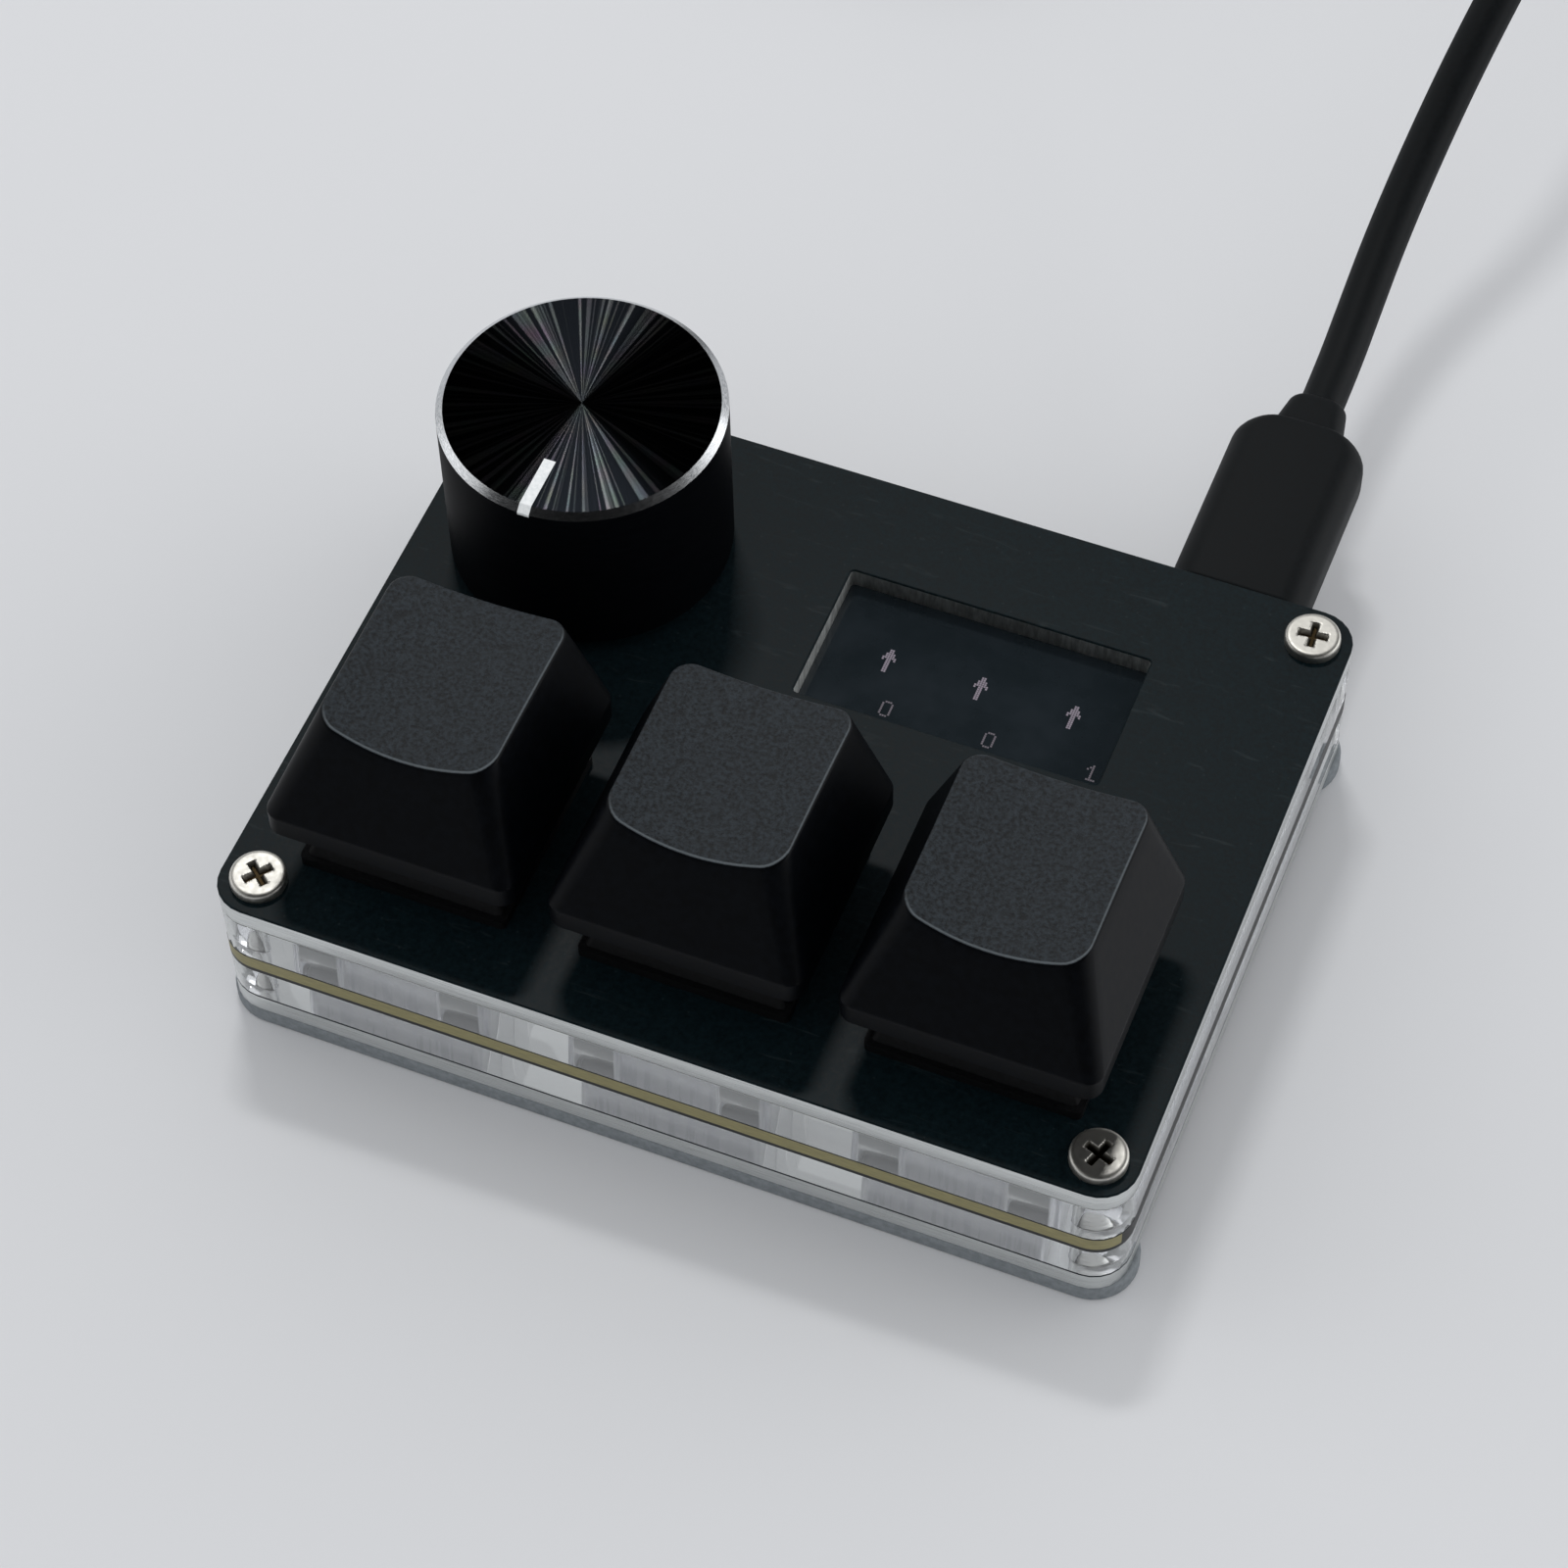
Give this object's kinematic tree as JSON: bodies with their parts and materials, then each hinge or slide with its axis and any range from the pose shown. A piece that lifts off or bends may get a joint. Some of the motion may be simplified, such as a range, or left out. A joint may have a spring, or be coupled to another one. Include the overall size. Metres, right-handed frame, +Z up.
{
  "type": "macro keypad",
  "caption": "Small layered keypad with sprung keys, a push-and-turn knob, a display window and a plugged-in lead.",
  "frame": {"origin": "on the table, under the middle of the keypad's outline", "axes": "+X to the right along the row of keys, +Y to the rear where the lead plugs in, +Z up"},
  "size_m": [0.0658, 0.2098, 0.0286],
  "materials": {
    "black_anodised_plate": "satin black anodised faces, bare bright cut edges",
    "clear_acrylic": "polished clear acrylic",
    "circuit_laminate": "dark mask with olive cut edge",
    "grey_rubber": "matte",
    "screw_steel": "bright nickel plate",
    "keycap_plastic": "fine matte grain",
    "housing_plastic": "matte black",
    "stem_plastic": "smooth",
    "spring_steel": "bright wire",
    "contact_copper": "bright",
    "knob_aluminium": "black anodised, spun top, bright chamfer",
    "pointer_white": "matte white fill",
    "nickel_silver": "satin",
    "display_glass": "polished dark glass",
    "black_foam": "matte foam",
    "amber_film": "glossy film",
    "chip_epoxy": "matte",
    "ceramic": "matte",
    "cable_rubber": "matte black",
    "black_strap": "woven strap"
  },
  "bodies": {
    "base": {"top_plate": "black_anodised_plate", "bottom_plate": "black_anodised_plate", "upper_spacer": "clear_acrylic", "lower_spacer": "clear_acrylic", "circuit_board": "circuit_laminate", "front_foot_strip": "grey_rubber", "rear_foot_strip": "grey_rubber", "corner_screws": "screw_steel", "encoder_base": "housing_plastic", "encoder_cover": "nickel_silver", "encoder_bushing": "nickel_silver", "encoder_pins": "contact_copper", "display_glass": "display_glass", "display_back_glass": "display_glass", "display_foam": "black_foam", "display_flex": "amber_film", "microcontroller": "chip_epoxy", "voltage_regulator": "chip_epoxy", "crystal": "nickel_silver", "chip_capacitors": "ceramic", "chip_resistors": "chip_epoxy", "key_diodes": "chip_epoxy", "usb_receptacle": "nickel_silver", "usb_tongue": "housing_plastic", "plug_shell": "nickel_silver", "plug_overmould": "cable_rubber", "plug_collar": "cable_rubber", "cable_tube": "cable_rubber", "cable_coil": "cable_rubber", "cable_tail": "cable_rubber", "coil_tie": "black_strap", "far_plug_overmould": "cable_rubber", "far_plug_shell": "nickel_silver", "switch_base_left": "housing_plastic", "switch_cover_left": "housing_plastic", "switch_spring_left": "spring_steel", "switch_contacts_left": "contact_copper", "switch_base_middle": "housing_plastic", "switch_cover_middle": "housing_plastic", "switch_spring_middle": "spring_steel", "switch_contacts_middle": "contact_copper", "switch_base_right": "housing_plastic", "switch_cover_right": "housing_plastic", "switch_spring_right": "spring_steel", "switch_contacts_right": "contact_copper"},
    "knob": {"knob_shell": "knob_aluminium", "knob_pointer": "pointer_white", "knob_insert": "housing_plastic", "encoder_shaft": "nickel_silver"},
    "push_carrier": {"encoder_plunger": "housing_plastic"},
    "left_key": {"keycap_left": "keycap_plastic", "switch_stem_left": "stem_plastic"},
    "middle_key": {"keycap_middle": "keycap_plastic", "switch_stem_middle": "stem_plastic"},
    "right_key": {"keycap_right": "keycap_plastic", "switch_stem_right": "stem_plastic"}
  },
  "joints": [
    {"name": "left_key_press", "type": "slide", "parent": "base", "child": "left_key", "axis": [0, 0, -1], "range_m": [0, 0.004], "stiffness_N_per_m": 62, "springref_m": -0.0056, "deforming": ["switch_spring_left"]},
    {"name": "middle_key_press", "type": "slide", "parent": "base", "child": "middle_key", "axis": [0, 0, -1], "range_m": [0, 0.004], "stiffness_N_per_m": 62, "springref_m": -0.0056, "deforming": ["switch_spring_middle"]},
    {"name": "right_key_press", "type": "slide", "parent": "base", "child": "right_key", "axis": [0, 0, -1], "range_m": [0, 0.004], "stiffness_N_per_m": 62, "springref_m": -0.0056, "deforming": ["switch_spring_right"]},
    {"name": "knob_push", "type": "slide", "parent": "base", "child": "push_carrier", "axis": [0, 0, -1], "range_m": [0, 0.0005], "stiffness_N_per_m": 2500, "springref_m": -0.0005},
    {"name": "knob_turn", "type": "hinge", "parent": "push_carrier", "child": "knob", "pos_m": [-0.0203, 0.0125, 0.02], "axis": [0, 0, 1], "continuous": true}
  ]
}
